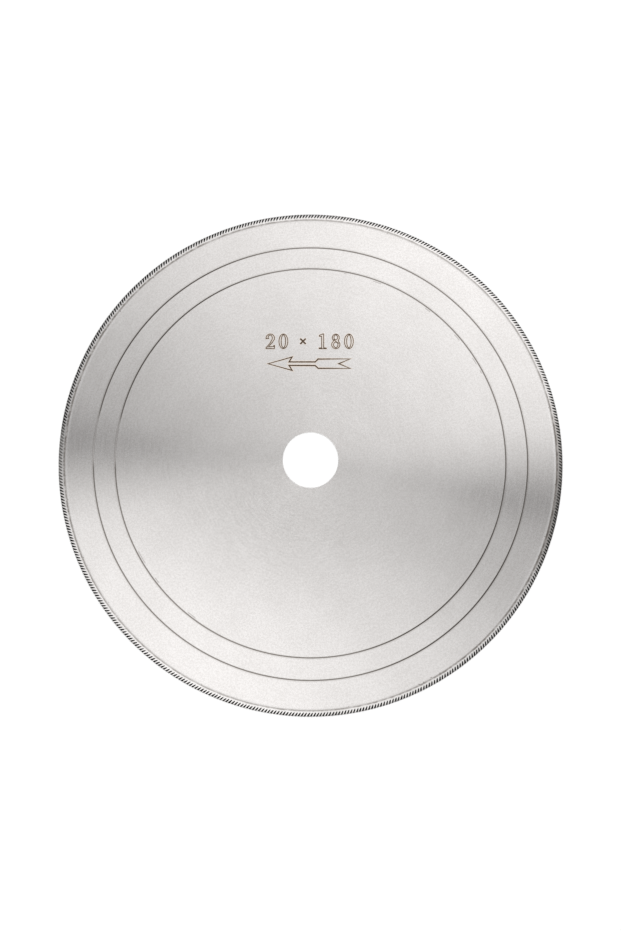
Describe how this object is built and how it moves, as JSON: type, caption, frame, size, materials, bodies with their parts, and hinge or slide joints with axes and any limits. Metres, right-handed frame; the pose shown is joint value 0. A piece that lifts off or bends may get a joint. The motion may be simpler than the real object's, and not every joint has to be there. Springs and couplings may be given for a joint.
{
  "type": "diamond saw blade",
  "caption": "Thin round steel saw blade with a plain centre bore and a rim of slanted notches filled with diamond bond, for cutting stone and glass.",
  "frame": {"origin": "centre of the bore, halfway through the blade's thickness", "axes": "+Z along the bore's axis, out of the marked front face; +Y towards the top of the picture; the blade lies flat"},
  "size_m": [0.18, 0.18, 0.0004],
  "materials": {
    "steel": "ground round the axis, fine circular scratches",
    "diamond_bond": "dark gritty metal bond with diamond grains"
  },
  "bodies": {
    "root": {"steel_disc": "steel", "diamond_fill": "diamond_bond"}
  },
  "joints": []
}
